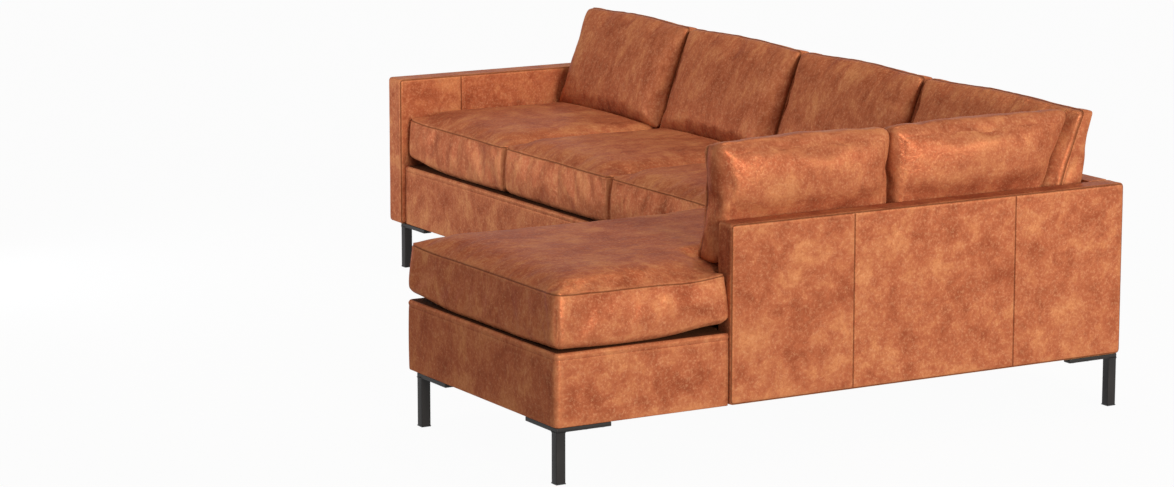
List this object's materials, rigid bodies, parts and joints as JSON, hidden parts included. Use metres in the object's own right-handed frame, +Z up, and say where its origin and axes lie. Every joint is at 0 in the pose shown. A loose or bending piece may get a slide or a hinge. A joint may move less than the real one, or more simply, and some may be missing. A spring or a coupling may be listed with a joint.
{
  "type": "sectional sofa",
  "caption": "L-shaped leather sectional sofa with a low track arm, an open-ended bumper on its return, loose boxed cushions and slim black square legs.",
  "frame": {"origin": "middle of the overall footprint, on the floor", "axes": "+X along the long side from the arm towards the return, +Y to the rear, +Z up"},
  "size_m": [2.91, 1.825, 0.856],
  "materials": {
    "cover_leather": "satin",
    "foam": "matt",
    "deck_cloth": "matt",
    "dust_cloth": "matt",
    "frame_wood": "sawn",
    "spring_steel": "oiled",
    "leg_paint": "matt powder coat",
    "glide_plastic": "matt",
    "fixing_steel": "zinc plated"
  },
  "bodies": {
    "main_frame": {"arm_cover": "cover_leather", "arm_panel": "frame_wood", "connector_receivers": "fixing_steel", "main_back_cover": "cover_leather", "main_back_panel": "frame_wood", "main_base_cover": "cover_leather", "main_cross_rails": "frame_wood", "main_deck_pad": "deck_cloth", "main_dust_cover": "dust_cloth", "main_frame_padding": "foam", "main_front_rail": "frame_wood", "main_glides": "glide_plastic", "main_leg_front_left": "leg_paint", "main_leg_front_right": "leg_paint", "main_leg_rear_left": "leg_paint", "main_leg_rear_right": "leg_paint", "main_rear_rail": "frame_wood", "main_screws": "fixing_steel", "main_springs": "spring_steel"},
    "return_frame": {"connector_pegs": "fixing_steel", "return_back_panels": "frame_wood", "return_base_cover": "cover_leather", "return_cross_rails": "frame_wood", "return_deck_pad": "deck_cloth", "return_dust_cover": "dust_cloth", "return_frame_padding": "foam", "return_front_rail": "frame_wood", "return_glides": "glide_plastic", "return_leg_front_left": "leg_paint", "return_leg_front_right": "leg_paint", "return_leg_rear_left": "leg_paint", "return_leg_rear_right": "leg_paint", "return_rear_back_cover": "cover_leather", "return_rear_rail": "frame_wood", "return_screws": "fixing_steel", "return_side_back_cover": "cover_leather", "return_springs": "spring_steel"},
    "seat_1": {"seat_cushion_1_cover": "cover_leather", "seat_cushion_1_core": "foam"},
    "seat_2": {"seat_cushion_2_cover": "cover_leather", "seat_cushion_2_core": "foam"},
    "seat_3": {"seat_cushion_3_cover": "cover_leather", "seat_cushion_3_core": "foam"},
    "corner_seat": {"corner_seat_cushion_cover": "cover_leather", "corner_seat_cushion_core": "foam"},
    "bumper_seat": {"bumper_seat_cushion_cover": "cover_leather", "bumper_seat_cushion_core": "foam"},
    "back_1": {"back_cushion_1_cover": "cover_leather", "back_cushion_1_core": "foam"},
    "back_2": {"back_cushion_2_cover": "cover_leather", "back_cushion_2_core": "foam"},
    "back_3": {"back_cushion_3_cover": "cover_leather", "back_cushion_3_core": "foam"},
    "corner_back": {"corner_back_cushion_cover": "cover_leather", "corner_back_cushion_core": "foam"},
    "return_back_1": {"return_back_cushion_1_cover": "cover_leather", "return_back_cushion_1_core": "foam"},
    "return_back_2": {"return_back_cushion_2_cover": "cover_leather", "return_back_cushion_2_core": "foam"}
  },
  "joints": [
    {"name": "return_lift", "type": "slide", "parent": "main_frame", "child": "return_frame", "axis": [0, 0, 1], "range_m": [0, 0.05]},
    {"name": "seat_1_lift", "type": "slide", "parent": "main_frame", "child": "seat_1", "axis": [0, 0, 1], "range_m": [0, 0.08]},
    {"name": "seat_2_lift", "type": "slide", "parent": "main_frame", "child": "seat_2", "axis": [0, 0, 1], "range_m": [0, 0.08]},
    {"name": "seat_3_lift", "type": "slide", "parent": "main_frame", "child": "seat_3", "axis": [0, 0, 1], "range_m": [0, 0.08]},
    {"name": "corner_seat_lift", "type": "slide", "parent": "return_frame", "child": "corner_seat", "axis": [0, 0, 1], "range_m": [0, 0.08]},
    {"name": "bumper_seat_lift", "type": "slide", "parent": "return_frame", "child": "bumper_seat", "axis": [0, 0, 1], "range_m": [0, 0.08]},
    {"name": "back_1_lift", "type": "slide", "parent": "seat_1", "child": "back_1", "axis": [0, 0.2588, 0.9659], "range_m": [0, 0.06]},
    {"name": "back_2_lift", "type": "slide", "parent": "seat_2", "child": "back_2", "axis": [0, 0.2588, 0.9659], "range_m": [0, 0.06]},
    {"name": "back_3_lift", "type": "slide", "parent": "seat_3", "child": "back_3", "axis": [0, 0.2588, 0.9659], "range_m": [0, 0.06]},
    {"name": "corner_back_lift", "type": "slide", "parent": "corner_seat", "child": "corner_back", "axis": [0, 0.2588, 0.9659], "range_m": [0, 0.06]},
    {"name": "return_back_1_lift", "type": "slide", "parent": "bumper_seat", "child": "return_back_1", "axis": [0.0872, 0, 0.9962], "range_m": [0, 0.06]},
    {"name": "return_back_2_lift", "type": "slide", "parent": "corner_seat", "child": "return_back_2", "axis": [0.0872, 0, 0.9962], "range_m": [0, 0.06]}
  ]
}
